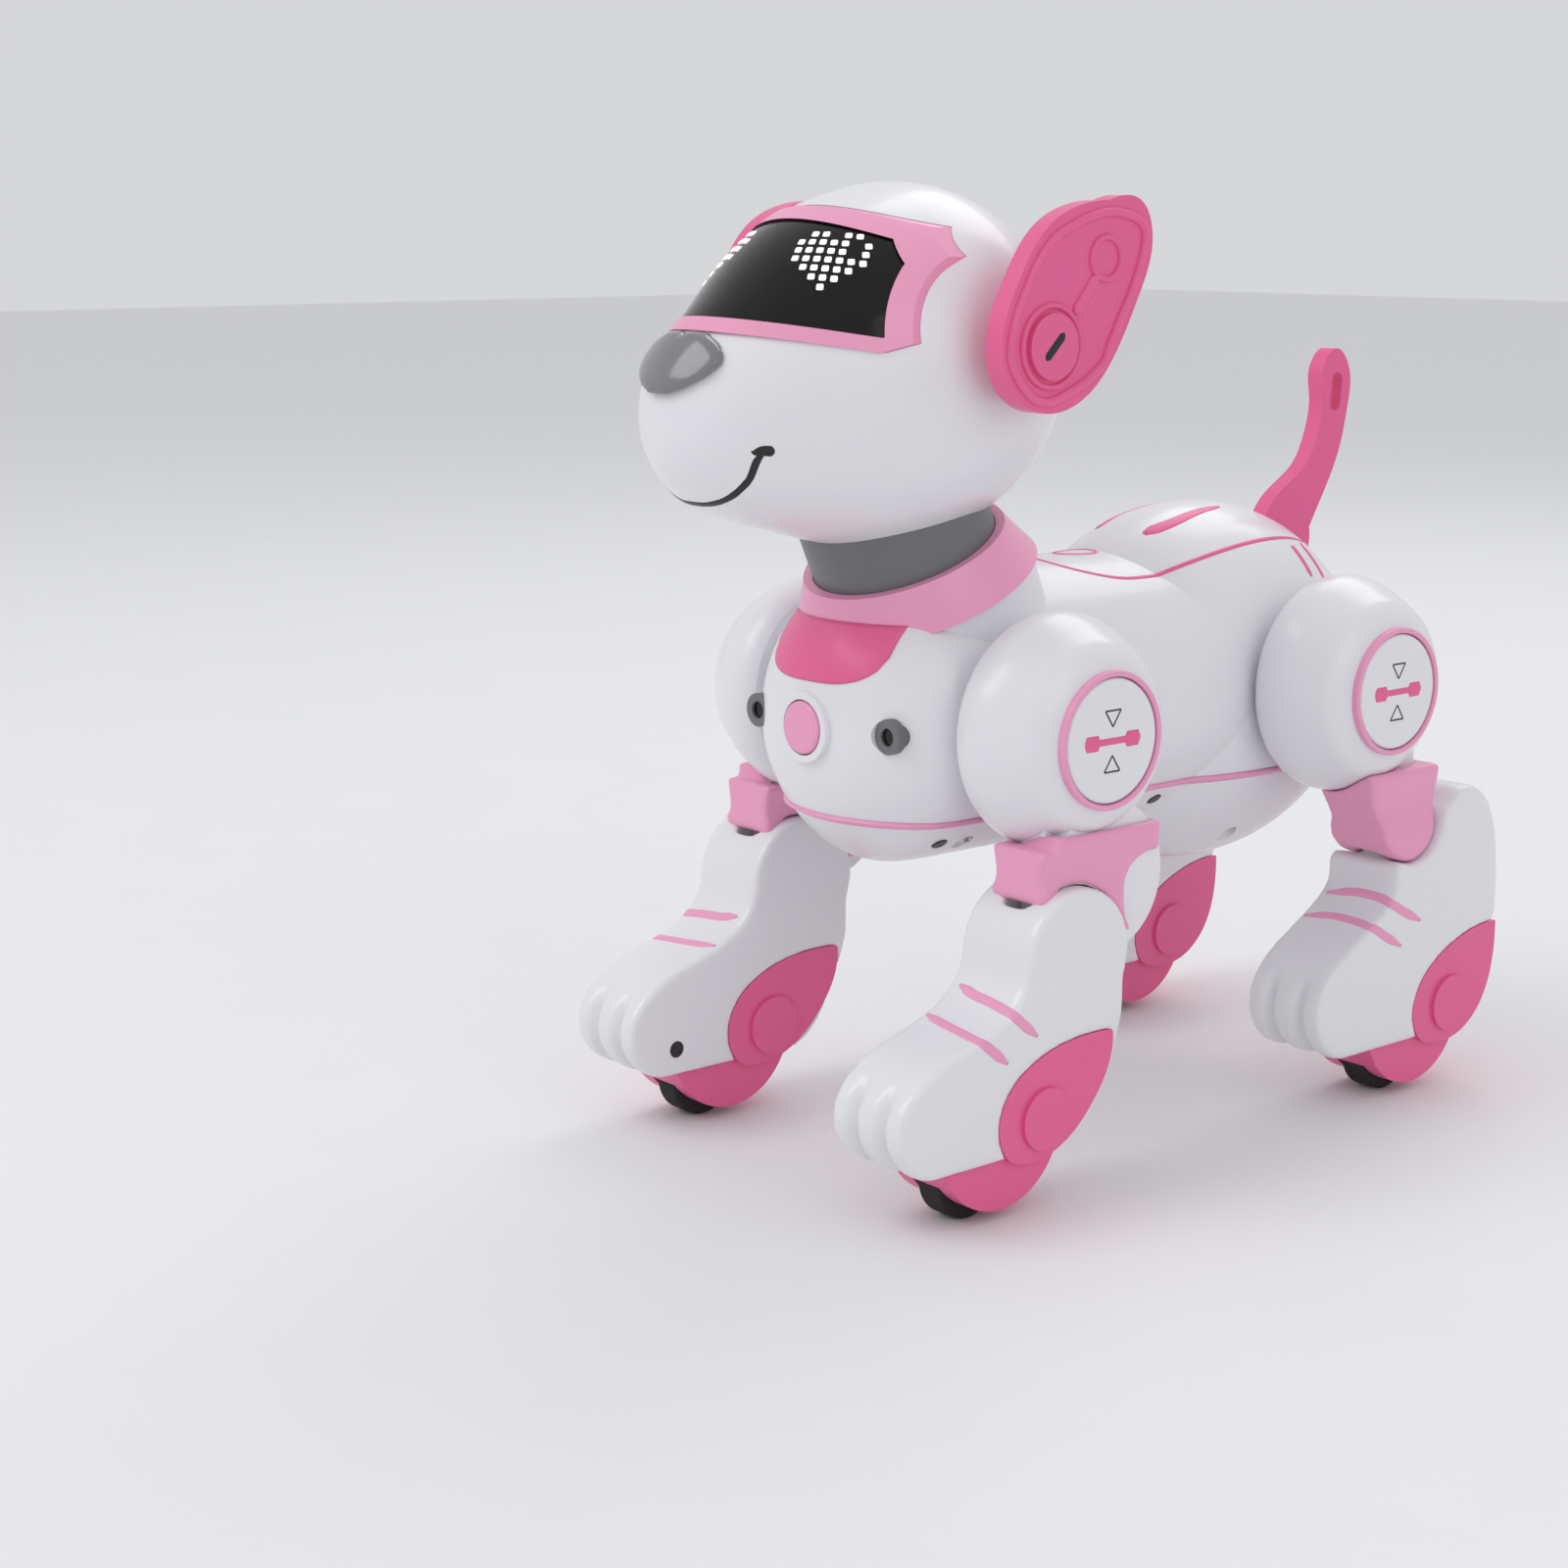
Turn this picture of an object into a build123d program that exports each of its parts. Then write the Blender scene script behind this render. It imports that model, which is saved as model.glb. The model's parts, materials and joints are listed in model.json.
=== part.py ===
from build123d import *
import os

# Robot dog toy: +X is the dog's left, -Y its front, +Z up, the floor at z = 0. Millimetres.
# Each leg turns at the body, bends at the knee and rolls on a small wheel under its paw.

os.makedirs("parts", exist_ok=True)

# Driving dimensions
WALL = 2.2                      # moulded shell thickness
GAP = 0.1                       # between pieces that are fixed together
CLEAR = 0.35                    # between pieces that move past each other
RUNNING = 0.05                  # radial clearance of a shaft in its bore
BIG = 200.0                     # longer than any piece, for cutting tools
FROM_BASE = (Align.CENTER, Align.CENTER, Align.MIN)

# Body
BODY_Z = 115.0                  # axis of the barrel
BODY_R = 37.6
CHEST_Y, RUMP_Y = -80.0, 116.5
HUMP_CENTRE = (0, 60, 113)
HUMP_RADII = (38.2, 61.0, 50.5)
BELLY_SEAM_Z = 91.0
BACK_SEAM_Z = 144.0
BACK_FRONT_Y = 12.0
TRIM_HEIGHT = 1.4
HUB_PAD_R = 21.0                # flat round pad on the body behind each leg

# Hip hubs
HUB_Z = 116.4
HUB_Y = {"front": -37.5, "rear": 73.0}
HUB_INNER_X = 39.0
HUB_FACE_X = 64.2
HUB_R = 29.6
SPINDLE_R = 5.0
SPINDLE_END_X = 29.0
CAP_R = 15.6
RING_R = 17.3

# Legs; the side outlines below are measured from the hip hub
LEG_X = 52.7
SHIN_HALF = 12.6
KNEE_HALF = 10.4
BRACKET_HALF = 8.0
PLATE_HALF = 4.0                # hinge plate at the knee
PLATE_R = 5.0
PIN_R = 2.0
KNEE = {"front": (-8.5, -53.5), "rear": (13.0, -38.0)}
KNEE_BALL_R = {"front": 17.5, "rear": 11.5}
GUARD_BOSS = {"front": (-19.4, -92.6), "rear": (31.1, -92.6)}
GUARD_BOSS_R = 8.0
GUARD_HALF = 11.8
GUARD_WALL = 2.5
GUARD_SHIFT = (-2.6, 1.2)       # the heel core is the guard's outline moved by this

# Feet
WHEEL_R = 10.0
WHEEL_HALF = 4.2
AXLE_R = 1.5
AXLE_HALF = 9.0
WHEEL_Y = {"front": -75.0, "rear": 87.0}
CRADLE_Y = {"front": -70.0, "rear": 90.5}
CRADLE_LENGTH = 37.0
CRADLE_HALF = 10.0
CRADLE_TOP_Z = 18.0
CRADLE_BOTTOM_Z = 2.8

# Neck and head
NECK_BASE = (0, -47.0, 158.0)
NECK_TILT = 24.0
NECK_R = 24.4
COLLAR_TOP_R, COLLAR_BOTTOM_R = 27.0, 32.5
COLLAR_TOP, COLLAR_BOTTOM = 0.5, -10.5
PEDESTAL_R = 31.0
PEDESTAL_BOTTOM = -35.0
CRANIUM, CRANIUM_R = (-52.4, 206.0), 44.3      # y and z of the cranium's centre, and its radius
MUZZLE, MUZZLE_R = (-99.5, 194.7), 25.7
HEAD_SPLIT_Y = -47.0
HEAD_PROFILE = [(14.0, 43.6), (30.0, 38.8), (47.0, 30.0)]    # cheeks: distance from the cranium, radius

# Face
VISOR_CORNERS = [(28.6, 239.3), (34.9, 232.4), (39.5, 212.5), (36.0, 210.4)]
VISOR_TOP_Z, VISOR_LOW_Z = 244.5, 215.4
VISOR_FRAME = 3.2
NOSE_Z = 208.0
BUTTON_Z = 115.6
BUTTON_R = 6.8
SENSOR_X, SENSOR_Y, SENSOR_Z = 25.2, -73.4, 115.9
SENSOR_ANGLE = 29.6

# Underside
DOOR_Y, DOOR_LENGTH, DOOR_HALF = 24.0, 46.0, 14.0
SWITCH_Y, SWITCH_LENGTH, SWITCH_HALF, SWITCH_TRAVEL = -12.0, 5.0, 2.0, 3.0
SOCKET_Y, SOCKET_R, SOCKET_DEPTH, SOCKET_CASE_R = -28.0, 1.75, 8.0, 4.5
SCREW_X, SCREW_Y = 22.0, (-46.0, 56.0)
SCREW_HEAD_R, SCREW_SHANK_R = 2.4, 1.1
SCREW_HEAD_Z = 87.0
PILLAR_R = 4.4
PILLAR_TOP_Z = 104.0

# Ears and tail
EAR_HUB = (-51.4, 211.6)
EAR_INNER_X, EAR_OUTER_X = 50.5, 56.0
EAR_HUB_R = 7.9
TAIL_PIVOT = (99.5, 150.0)
TAIL_BASE_R = 11.0
TAIL_HALF = 2.6


def save(piece, name):
    piece.part.label = name
    export_step(piece.part, f"parts/{name}.step")


def save_both(piece, pattern):
    """Write a left piece and its mirror image; the pattern takes the side's name."""
    save(piece, pattern.format("left"))
    with BuildPart() as twin:
        mirror(piece.part, about=Plane.YZ)
    save(twin, pattern.format("right"))


def side_plane(x, origin=(0, 0)):
    """Plane across X, with its own x along +Y and its own y along +Z."""
    return Plane(origin=(x, origin[0], origin[1]), x_dir=(0, 1, 0), z_dir=(1, 0, 0))


def front_plane(y, z=0):
    """Plane across Y, with its own x along +X and its own y along +Z; it faces forwards."""
    return Plane(origin=(0, y, z), x_dir=(1, 0, 0), z_dir=(0, -1, 0))


def half_space(plane):
    """Large block on the side that a plane faces."""
    return plane * Box(2 * BIG, 2 * BIG, BIG, align=FROM_BASE, mode=Mode.PRIVATE)


def slab(low_z, high_z):
    """Flat layer of everything between two heights."""
    return Pos(0, 0, low_z) * Box(2 * BIG, 2 * BIG, high_z - low_z, align=FROM_BASE, mode=Mode.PRIVATE)


def rod(place, radius, low, high):
    """Round bar along a place's own z, between two heights."""
    return place * Pos(0, 0, low) * Cylinder(radius, high - low, align=FROM_BASE, mode=Mode.PRIVATE)


# ---------------------------------------------------------------- body

NECK_PLANE = Plane(Location(NECK_BASE, (NECK_TILT, 0, 0)))
NECK_AXIS = Axis(NECK_BASE, NECK_PLANE.z_dir)


def body_barrel(inset=0.0):
    """Barrel of the body, turned about its long axis."""
    r = BODY_R - inset
    chest, rump = CHEST_Y + inset, RUMP_Y - inset
    with BuildPart() as barrel:
        with BuildSketch(side_plane(0, (0, BODY_Z))):
            with BuildLine():
                Spline((chest, 0), (chest + 5.7, r * 0.64), (chest + 15.0, r * 0.9), (chest + 34.0, r),
                       tangents=((0, 1), (1, 0)))
                Line((chest + 34.0, r), (rump - 46.0, r))
                Spline((rump - 46.0, r), (rump - 13.0, r * 0.82), (rump, 0), tangents=((1, 0), (0, -1)))
                Line((rump, 0), (chest, 0))
            make_face()
        revolve(axis=Axis((0, 0, BODY_Z), (0, 1, 0)))
    return barrel.part


def body_hump(inset=0.0):
    """Ellipsoid that raises the back over the battery."""
    radii = tuple(radius - inset for radius in HUMP_RADII)
    return Pos(*HUMP_CENTRE) * scale(Sphere(1), by=radii)


def hub_pads():
    """Round pads that the four legs turn against."""
    with BuildPart() as pads:
        for hub_y in HUB_Y.values():
            with BuildSketch(side_plane(0, (hub_y, HUB_Z))):
                Circle(HUB_PAD_R)
            extrude(amount=HUB_INNER_X - CLEAR - 0.1, both=True)
    return pads.part


def neck_pedestal(inset=0.0):
    """Round rise of the shoulders under the collar."""
    return rod(NECK_PLANE.location, PEDESTAL_R - inset, PEDESTAL_BOTTOM, COLLAR_BOTTOM + 0.5 - inset)


outer_body = body_barrel() + body_hump() + neck_pedestal()
inner_body = body_barrel(WALL) + body_hump(WALL) + neck_pedestal(WALL)
neck_bore = rod(NECK_PLANE.location, NECK_R + CLEAR, -60, 60)
back_zone = half_space(Plane((0, 0, BACK_SEAM_Z))) & half_space(Plane((0, BACK_FRONT_Y, 0), z_dir=(0, 1, 0)))


def drive_bores(radius):
    """Bores across the body for the four leg spindles."""
    with BuildPart() as bores:
        for hub_y in HUB_Y.values():
            with BuildSketch(side_plane(0, (hub_y, HUB_Z))):
                Circle(radius)
            extrude(amount=BIG, both=True)
    return bores.part


button_bore = rod(front_plane(CHEST_Y, BUTTON_Z).location, BUTTON_R + CLEAR, -20, 20)


def sensor_places():
    """The two eyes of the obstacle sensor, square to the chest's surface."""
    return [Location((side * SENSOR_X, SENSOR_Y, SENSOR_Z), (90, 0, side * SENSOR_ANGLE)) for side in (1, -1)]


def tail_slot():
    """Slot that the tail's round base turns in."""
    with BuildPart() as slot:
        with BuildSketch(side_plane(0, TAIL_PIVOT)):
            Circle(TAIL_BASE_R + CLEAR + 0.3)
        extrude(amount=TAIL_HALF + CLEAR, both=True)
    return slot.part


def upright(x, y, radius, low_z, high_z):
    """Vertical round bar."""
    return rod(Pos(x, y, 0), radius, low_z, high_z)


def block(x_range, y_range, z_range):
    """Box between two corners, given as ranges."""
    low = [min(limits) for limits in (x_range, y_range, z_range)]
    size = [abs(limits[1] - limits[0]) for limits in (x_range, y_range, z_range)]
    return Pos(*low) * Box(*size, align=(Align.MIN, Align.MIN, Align.MIN), mode=Mode.PRIVATE)


def screw_places():
    return [(side * SCREW_X, y) for side in (1, -1) for y in SCREW_Y]


def door_block(grow):
    half = DOOR_LENGTH / 2 + grow
    return block((-DOOR_HALF - grow, DOOR_HALF + grow), (DOOR_Y - half, DOOR_Y + half), (0, BELLY_SEAM_Z))


with BuildPart() as torso_shell:
    add(outer_body)
    add(hub_pads())
    add(inner_body, mode=Mode.SUBTRACT)
    add(back_zone, mode=Mode.SUBTRACT)
    add(slab(0, BELLY_SEAM_Z + TRIM_HEIGHT + GAP), mode=Mode.SUBTRACT)
    add(neck_bore, mode=Mode.SUBTRACT)
    add(drive_bores(SPINDLE_R + RUNNING), mode=Mode.SUBTRACT)
    with BuildSketch(front_plane(CHEST_Y - 1.2, BUTTON_Z)):
        Circle(BUTTON_R + 2.2)
    extrude(amount=-4.0)
    add(button_bore, mode=Mode.SUBTRACT)
    for place in sensor_places():
        add(rod(place, 3.6, -6, 6), mode=Mode.SUBTRACT)
        add(rod(place, 4.5, -0.9, 6), mode=Mode.SUBTRACT)
    add(tail_slot(), mode=Mode.SUBTRACT)
    for x, y in screw_places():
        wall_x = x + 14 if x > 0 else x - 14
        pillar = upright(x, y, PILLAR_R, BELLY_SEAM_Z + TRIM_HEIGHT + GAP, PILLAR_TOP_Z)
        rib = block((x, wall_x), (y - 1, y + 1), (BELLY_SEAM_Z + TRIM_HEIGHT + GAP, PILLAR_TOP_Z))
        add((pillar + rib) & outer_body)
        add(upright(x, y, SCREW_SHANK_R + GAP, 0, PILLAR_TOP_Z - 2), mode=Mode.SUBTRACT)
save(torso_shell, "torso_shell")

with BuildPart() as back_cover:
    add(outer_body)
    add(inner_body, mode=Mode.SUBTRACT)
    add(back_zone, mode=Mode.INTERSECT)
    for side in (1, -1):
        inner_x, outer_x = side * (TAIL_HALF + CLEAR), side * (TAIL_HALF + CLEAR + 2.5)
        lug = block((inner_x, outer_x), (TAIL_PIVOT[0] - 6, TAIL_PIVOT[0] + 5), (BACK_SEAM_Z, 160))
        add(lug & outer_body)
    add(tail_slot(), mode=Mode.SUBTRACT)
    with BuildSketch(side_plane(0, TAIL_PIVOT)):
        Circle(AXLE_R)
    extrude(amount=TAIL_HALF + CLEAR + 1.0, both=True)
save(back_cover, "back_cover")

with BuildPart() as belly_tray:
    add(outer_body)
    add(inner_body, mode=Mode.SUBTRACT)
    add(slab(0, BELLY_SEAM_Z), mode=Mode.INTERSECT)
    for x, y in screw_places():
        add(upright(x, y, PILLAR_R, 0, BELLY_SEAM_Z) & outer_body)
        add(upright(x, y, SCREW_HEAD_R + 0.3, 0, SCREW_HEAD_Z), mode=Mode.SUBTRACT)
        add(upright(x, y, SCREW_SHANK_R + GAP, 0, BELLY_SEAM_Z), mode=Mode.SUBTRACT)
    add(door_block(GAP), mode=Mode.SUBTRACT)
    add(upright(0, SOCKET_Y, SOCKET_CASE_R + GAP, 0, BELLY_SEAM_Z), mode=Mode.SUBTRACT)
    add(block((-SWITCH_HALF - CLEAR, SWITCH_HALF + CLEAR),
              (SWITCH_Y - SWITCH_LENGTH / 2 - CLEAR, SWITCH_Y + SWITCH_LENGTH / 2 + SWITCH_TRAVEL + CLEAR),
              (0, BELLY_SEAM_Z)), mode=Mode.SUBTRACT)
save(belly_tray, "belly_tray")

with BuildPart() as battery_cover:
    add(outer_body)
    add(inner_body, mode=Mode.SUBTRACT)
    add(door_block(0), mode=Mode.INTERSECT)
save(battery_cover, "battery_cover")

with BuildPart() as charging_socket:
    add(upright(0, SOCKET_Y, SOCKET_CASE_R, BODY_Z - BODY_R + 0.3, BODY_Z - BODY_R + 11))
    add(upright(0, SOCKET_Y, SOCKET_R, 0, BODY_Z - BODY_R + 0.3 + SOCKET_DEPTH), mode=Mode.SUBTRACT)
save(charging_socket, "charging_socket")

with BuildPart() as power_switch:
    add(block((-SWITCH_HALF, SWITCH_HALF), (SWITCH_Y - SWITCH_LENGTH / 2, SWITCH_Y + SWITCH_LENGTH / 2),
              (BODY_Z - BODY_R - 0.9, BODY_Z - BODY_R + 5)))
    fillet(power_switch.edges().group_by(Axis.Z)[0], 0.5)
save(power_switch, "power_switch")

with BuildPart() as case_screws:
    for x, y in screw_places():
        add(upright(x, y, SCREW_HEAD_R, SCREW_HEAD_Z - 1.8, SCREW_HEAD_Z))
        add(upright(x, y, SCREW_SHANK_R, SCREW_HEAD_Z, PILLAR_TOP_Z - 3))
        add(block((x - 1.6, x + 1.6), (y - 0.3, y + 0.3), (0, SCREW_HEAD_Z - 1.0)), mode=Mode.SUBTRACT)
        add(block((x - 0.3, x + 0.3), (y - 1.6, y + 1.6), (0, SCREW_HEAD_Z - 1.0)), mode=Mode.SUBTRACT)
save(case_screws, "case_screws")

with BuildPart() as battery_pack:
    add(block((-12, 12), (DOOR_Y - 21, DOOR_Y + 21), (84, 99)))
    fillet(battery_pack.edges().filter_by(Axis.Y), 5)
save(battery_pack, "battery_pack")

with BuildPart() as circuit_board:
    add(block((-20, 20), (-16, 52), (130, 131.6)))
    add(block((-7, 7), (0, 14), (131.6, 133.4)))
    add(block((-15, -9), (26, 34), (131.6, 139)))
save(circuit_board, "circuit_board")

with BuildPart() as speaker:
    add(upright(0, -50, 14, 89, 91.5))
    add(upright(0, -50, 8, 91.5, 96))
save(speaker, "speaker")

with BuildPart() as leg_drives:
    for hub_y in HUB_Y.values():
        for side in (1, -1):
            add(block((side * 13, side * (SPINDLE_END_X - 0.5)), (hub_y - 10, hub_y + 10),
                      (HUB_Z - 12, HUB_Z + 10)))
    add(drive_bores(SPINDLE_R / 2 + RUNNING), mode=Mode.SUBTRACT)
save(leg_drives, "leg_drives")

with BuildPart() as belly_trim:
    add(body_barrel(-0.3))
    add(body_barrel(WALL), mode=Mode.SUBTRACT)
    add(slab(BELLY_SEAM_Z + GAP / 2, BELLY_SEAM_Z + TRIM_HEIGHT + GAP / 2), mode=Mode.INTERSECT)
save(belly_trim, "belly_trim")


def ring_about_neck(outer, inner_r):
    """Ring turned about the neck: outer is a list of (radius, height) points from top to bottom."""
    with BuildPart() as ring:
        with BuildSketch(Plane(NECK_BASE, x_dir=(1, 0, 0), z_dir=-NECK_PLANE.y_dir)):
            with BuildLine():
                Spline(*outer)
                Polyline(outer[-1], (inner_r, outer[-1][1]), (inner_r, outer[0][1]), outer[0])
            make_face()
        revolve(axis=NECK_AXIS)
    return ring.part


with BuildPart() as collar:
    add(ring_about_neck([(COLLAR_TOP_R, COLLAR_TOP), (COLLAR_TOP_R + 2.6, COLLAR_TOP - 5.5),
                         (COLLAR_BOTTOM_R, COLLAR_BOTTOM)], NECK_R + 0.2))
    add(outer_body, mode=Mode.SUBTRACT)
save(collar, "collar")

with BuildPart() as neck_sleeve:
    with BuildSketch(NECK_PLANE.offset(-9.0)):
        Circle(NECK_R)
        Circle(NECK_R - WALL, mode=Mode.SUBTRACT)
    extrude(amount=24.0)
save(neck_sleeve, "neck_sleeve")

with BuildPart() as chest_panel:
    with BuildSketch(front_plane(CHEST_Y - 10)):
        with BuildLine():
            Line((-21.5, 149), (21.5, 149))
            Line((21.5, 149), (21, 137))
            Spline((21, 137), (14.5, 129.4), (0, 127.3), (-14.5, 129.4), (-21, 137))
            Line((-21, 137), (-21.5, 149))
        make_face()
    extrude(amount=-45)
    add(body_barrel(-0.5), mode=Mode.INTERSECT)
    add(outer_body, mode=Mode.SUBTRACT)
    add(half_space(NECK_PLANE.offset(COLLAR_BOTTOM)), mode=Mode.SUBTRACT)
save(chest_panel, "chest_panel")

with BuildPart() as chest_button:
    with BuildSketch(front_plane(CHEST_Y - 1.9, BUTTON_Z)):
        Circle(BUTTON_R)
    extrude(amount=-9)
    fillet(chest_button.faces().sort_by(Axis.Y)[0].edges(), 1.0)
    with BuildSketch(front_plane(CHEST_Y + 4.6, BUTTON_Z)):
        Circle(BUTTON_R + 1.6)
    extrude(amount=-1.5)
save(chest_button, "chest_button")

with BuildPart() as sensor_bezels:
    for place in sensor_places():
        add(rod(place, 4.4, -0.8, 1.6))
        add(rod(place, 3.5, -5, 0.4))
    for place in sensor_places():
        add(rod(place, 2.3, -10, 10), mode=Mode.SUBTRACT)
save(sensor_bezels, "sensor_bezels")

with BuildPart() as sensor_lenses:
    for place in sensor_places():
        add(rod(place, 2.2, -5, 0.8))
save(sensor_lenses, "sensor_lenses")

# The tail leans back, narrows and ends in a rounded eyelet
with BuildPart() as tail:
    with BuildSketch(side_plane(0)):
        with BuildLine():
            Spline((89.5, 154.0), (98.5, 165.0), (108.0, 171.5), (112.5, 180.0), (114.2, 190.0), (113.6, 198.0),
                   (119.6, 204.0), (125.6, 198.0), (125.6, 188.0), (122.0, 174.0), (114.5, 160.0), (110.0, 152.5))
            Line((110.0, 152.5), (89.5, 154.0))
        make_face()
        with Locations(TAIL_PIVOT):
            Circle(TAIL_BASE_R)
            Circle(AXLE_R + RUNNING, mode=Mode.SUBTRACT)
        with Locations(Location((120.0, 191.5), -6)):
            SlotOverall(11.0, 4.6, rotation=90, mode=Mode.SUBTRACT)
    extrude(amount=TAIL_HALF, both=True)
save(tail, "tail")


# ---------------------------------------------------------------- legs

def hub_revolve_plane(end):
    """Plane of a hub's profile: its own x along the hub's axle, its own y away from it."""
    return Plane(origin=(0, HUB_Y[end], HUB_Z), x_dir=(1, 0, 0), z_dir=(0, -1, 0))


def hub_axis(end):
    return Axis((0, HUB_Y[end], HUB_Z), (1, 0, 0))


def leg_plane(end, x=LEG_X):
    """Side plane whose origin is on the hip hub's axis."""
    return side_plane(x, (HUB_Y[end], HUB_Z))


def leg_disc(end, centre, radius, half):
    """Disc in the leg, across its middle plane; the centre is measured from the hub."""
    with BuildPart() as disc:
        with BuildSketch(leg_plane(end, LEG_X - half)):
            with Locations(centre):
                Circle(radius)
        extrude(amount=2 * half)
    return disc.part


def hub_bowl(end, inset):
    """Domed case of the hip, open at nothing: a solid of revolution about the hub."""
    inner_x, face_x = HUB_INNER_X + inset, HUB_FACE_X - inset
    with BuildPart() as bowl:
        with BuildSketch(hub_revolve_plane(end)):
            with BuildLine():
                Polyline((face_x, RING_R - inset), (face_x, 0), (inner_x, 0), (inner_x, 26.8 - inset))
                Spline((inner_x, 26.8 - inset), (47.4, HUB_R - inset), (57.5, 25.4 - inset), (face_x, RING_R - inset),
                       tangents=((0.6, 0.8), (0.35, -1)))
            make_face()
        revolve(axis=hub_axis(end))
    return bowl.part


def leg_block(end, y_range, z_range, half):
    """Box across the leg, measured from the hub."""
    y_limits = [HUB_Y[end] + y for y in y_range]
    z_limits = [HUB_Z + z for z in z_range]
    return block((LEG_X - half, LEG_X + half), y_limits, z_limits)


def thigh_bracket(end, grow=0.0):
    """Inner bracket from the hip case: in front it ends round the knee pin."""
    knee_y, knee_z = KNEE[end]
    with BuildPart() as bracket:
        if end == "front":
            add(leg_disc(end, (4.5, -36.0), 19.5 + grow, BRACKET_HALF + grow))
            add(leg_disc(end, KNEE[end], KNEE_BALL_R[end] + CLEAR, BRACKET_HALF + 1), mode=Mode.SUBTRACT)
            add(leg_block(end, (knee_y - PLATE_R - grow, knee_y + PLATE_R + grow), (knee_z, -22), PLATE_HALF + grow))
            add(leg_disc(end, KNEE[end], PLATE_R + grow, PLATE_HALF + grow))
            add(leg_disc(end, KNEE[end], PIN_R + RUNNING, BIG), mode=Mode.SUBTRACT)
        else:
            add(leg_block(end, (4 - grow, 20 + grow), (-31 - grow, -20), PLATE_HALF + grow))
    return bracket.part


def knee_tongue():
    """Plate of the rear shin that turns on the knee's pin."""
    with BuildPart() as tongue:
        with BuildSketch(leg_plane("rear", LEG_X - PLATE_HALF)):
            with BuildLine():
                Polyline((8.2, -39.5), (10.0, -56.0), (30.0, -56.0), (28.0, -46.0), (17.0, -35.5), close=True)
            make_face()
            with Locations(KNEE["rear"]):
                Circle(PLATE_R)
                Circle(PIN_R + RUNNING, mode=Mode.SUBTRACT)
        extrude(amount=2 * PLATE_HALF)
    return tongue.part


def thigh_shell(end):
    with BuildPart() as shell:
        add(hub_bowl(end, 0))
        add(hub_bowl(end, WALL), mode=Mode.SUBTRACT)
        add(thigh_bracket(end))
        with BuildSketch(leg_plane(end, SPINDLE_END_X)):
            Circle(SPINDLE_R)
        extrude(amount=HUB_INNER_X + WALL / 2 - SPINDLE_END_X)
        with BuildSketch(leg_plane(end, SPINDLE_END_X - 8)):
            Circle(SPINDLE_R / 2)
        extrude(amount=8.5)
    return shell


def hub_ring(end):
    with BuildPart() as ring:
        with BuildSketch(leg_plane(end, HUB_FACE_X)):
            Circle(RING_R)
            Circle(CAP_R + 0.3, mode=Mode.SUBTRACT)
        extrude(amount=1.9)
        fillet(ring.faces().sort_by(Axis.X)[-1].edges(), 0.4)
    return ring


def hub_cap(end):
    with BuildPart() as cap:
        with BuildSketch(leg_plane(end, HUB_FACE_X)):
            Circle(CAP_R)
        extrude(amount=1.6)
        fillet(cap.faces().sort_by(Axis.X)[-1].edges(), 0.8)
    return cap


def knee_block(end):
    """Side outline of the pink knee, from the hip case down to the knee, as a slab."""
    with BuildPart() as slab_part:
        with BuildSketch(leg_plane(end, LEG_X - KNEE_HALF)):
            with BuildLine():
                if end == "front":
                    Spline((-14.5, -23), (-14.0, -30), (-19.5, -37.5))
                    Polyline((-19.5, -37.5), (-12, -46), (6, -50), (12.5, -50))
                    Spline((12.5, -50), (9.5, -43), (12.0, -35.5), (22.5, -31.5))
                    Polyline((22.5, -31.5), (22.0, -23), (-14.5, -23))
                else:
                    Spline((-5.5, -23), (-3.5, -30), (1.5, -38))
                    ThreePointArc((1.5, -38), (13.0, -49.5), (24.5, -38))
                    Polyline((24.5, -38), (24.6, -23), (-5.5, -23))
            make_face()
        extrude(amount=2 * KNEE_HALF)
    return slab_part.part


def knee(end):
    """Pink cover of the knee, fixed to the hip case."""
    with BuildPart() as cover:
        add(knee_block(end))
        if end == "front":
            add(leg_disc(end, KNEE[end], KNEE_BALL_R[end] + CLEAR, BIG), mode=Mode.SUBTRACT)
        add(hub_bowl(end, -GAP), mode=Mode.SUBTRACT)
        add(thigh_bracket(end, GAP), mode=Mode.SUBTRACT)
        if end == "rear":
            add(leg_block(end, (6.6, 26), (-55, -35.2), PLATE_HALF + CLEAR), mode=Mode.SUBTRACT)
            add(leg_disc(end, KNEE[end], PLATE_R + 0.6, PLATE_HALF + CLEAR), mode=Mode.SUBTRACT)
            add(leg_disc(end, KNEE[end], PIN_R, PLATE_HALF + 1.5))
    return cover


for end in HUB_Y:
    save_both(thigh_shell(end), end + "_{}_thigh_shell")
    save_both(hub_ring(end), end + "_{}_hub_ring")
    save_both(hub_cap(end), end + "_{}_hub_cap")
    save_both(knee(end), end + "_{}_knee")


# Side outlines of the paws, measured from the hip hub: instep and toes first, then sole, heel and back
PAW_FRONT = {
    "front": [(-26.0, -53.5), (-28.5, -60.0), (-37.0, -66.5), (-52.0, -71.5), (-62.0, -76.5), (-68.5, -86.0),
              (-65.5, -95.5), (-55.0, -100.4)],
    "rear": [(4.5, -50.5), (4.0, -58.0), (-2.0, -63.0), (-13.0, -69.5), (-22.5, -76.0), (-27.5, -85.5),
             (-24.5, -95.0), (-15.0, -100.4)],
}
PAW_BACK = {
    "front": [(-20.0, -100.4), (-6.0, -97.5), (2.5, -84.0), (7.0, -72.0), (7.36, -60.9)],
    "rear": [(26.0, -100.4), (40.5, -97.5), (48.0, -84.0), (50.5, -66.0), (49.0, -46.0), (43.5, -34.5),
             (36.0, -30.5), (29.0, -34.0)],
}
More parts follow.
